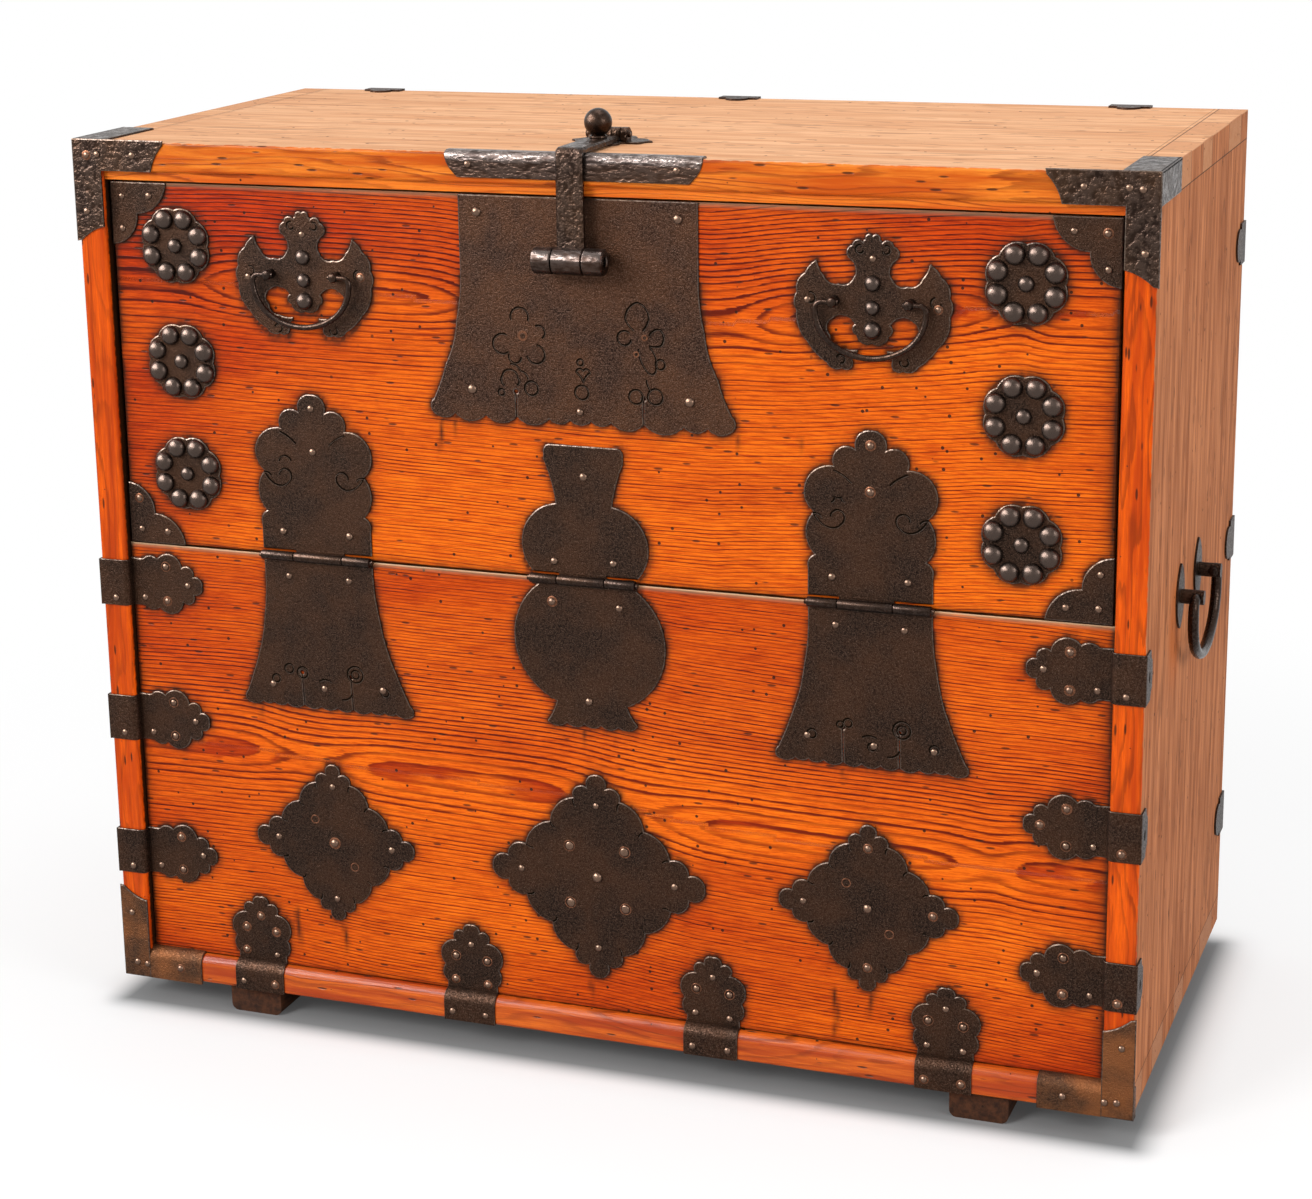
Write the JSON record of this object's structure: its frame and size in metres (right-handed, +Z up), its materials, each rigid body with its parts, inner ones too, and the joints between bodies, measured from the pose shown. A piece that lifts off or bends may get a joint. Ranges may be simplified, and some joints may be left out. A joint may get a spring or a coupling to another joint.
{
  "type": "blanket chest",
  "caption": "Drop-front wooden chest on two runners, bound in iron, with strap hinges, a lock plate and hasp over the top edge, stud rosettes and swinging handles.",
  "frame": {"origin": "on the floor under the middle of the whole object's box", "axes": "+X to the right when facing the front, +Y from the front to the back, +Z up"},
  "size_m": [1.045, 0.493, 0.888],
  "materials": {
    "red_pine": "red-brown lacquer, worn",
    "frame_pine": "bare, darkened by age",
    "runner_wood": "bare, weathered",
    "iron": "hammered, dark",
    "stud_iron": "dark, rubbed smooth"
  },
  "bodies": {
    "case": {"lower_front_panel": "red_pine", "header_rail": "red_pine", "top_board": "frame_pine", "bottom_board": "frame_pine", "left_side_board": "frame_pine", "right_side_board": "frame_pine", "back_board": "frame_pine", "top_door_stop": "frame_pine", "side_door_stops": "frame_pine", "left_runner": "runner_wood", "right_runner": "runner_wood", "top_left_corner_iron": "iron", "top_right_corner_iron": "iron", "bottom_left_corner_iron": "iron", "bottom_right_corner_iron": "iron", "top_rail_plate": "iron", "hasp_base_plate": "iron", "left_strap_low": "iron", "left_strap_middle": "iron", "left_strap_high": "iron", "right_strap_low": "iron", "right_strap_middle": "iron", "right_strap_high": "iron", "bottom_strap_1": "iron", "bottom_strap_2": "iron", "bottom_strap_3": "iron", "bottom_strap_4": "iron", "left_diamond_plate": "iron", "centre_diamond_plate": "iron", "right_diamond_plate": "iron", "left_hinge_lower_leaf": "iron", "centre_hinge_lower_leaf": "iron", "right_hinge_lower_leaf": "iron", "hinge_pins": "iron", "back_straps": "iron", "case_rivets": "stud_iron", "hasp_staple": "iron", "left_handle_plates": "iron", "right_handle_plates": "iron"},
    "door": {"door_panel": "red_pine", "lock_plate": "iron", "lock_eyes": "iron", "left_hinge_upper_leaf": "iron", "centre_hinge_upper_leaf": "iron", "right_hinge_upper_leaf": "iron", "door_corner_top_left": "iron", "door_corner_top_right": "iron", "door_corner_bottom_left": "iron", "door_corner_bottom_right": "iron", "left_rosettes": "stud_iron", "right_rosettes": "stud_iron", "left_bail_plate": "iron", "right_bail_plate": "iron", "door_rivets": "stud_iron"},
    "left_door_handle": {"left_door_bail": "iron"},
    "right_door_handle": {"right_door_bail": "iron"},
    "left_side_handle": {"left_side_bail": "iron"},
    "right_side_handle": {"right_side_bail": "iron"},
    "hasp": {"hasp": "iron", "hasp_knob": "iron"}
  },
  "joints": [
    {"name": "door_hinge", "type": "hinge", "parent": "case", "child": "door", "pos_m": [0, -0.2204, 0.471], "axis": [1, 0, 0], "range_deg": [0, 168]},
    {"name": "left_door_handle_swing", "type": "hinge", "parent": "door", "child": "left_door_handle", "pos_m": [-0.274, -0.2245, 0.737], "axis": [-1, 0, 0], "range_deg": [0, 150]},
    {"name": "right_door_handle_swing", "type": "hinge", "parent": "door", "child": "right_door_handle", "pos_m": [0.26, -0.2245, 0.737], "axis": [-1, 0, 0], "range_deg": [0, 150]},
    {"name": "left_side_handle_swing", "type": "hinge", "parent": "case", "child": "left_side_handle", "pos_m": [-0.516, -0.0175, 0.458], "axis": [0, 1, 0], "range_deg": [0, 150]},
    {"name": "right_side_handle_swing", "type": "hinge", "parent": "case", "child": "right_side_handle", "pos_m": [0.516, -0.0175, 0.458], "axis": [0, -1, 0], "range_deg": [0, 150]},
    {"name": "hasp_hinge", "type": "hinge", "parent": "case", "child": "hasp", "pos_m": [-0.007, -0.1335, 0.8625], "axis": [-1, 0, 0], "range_deg": [0, 135]}
  ]
}
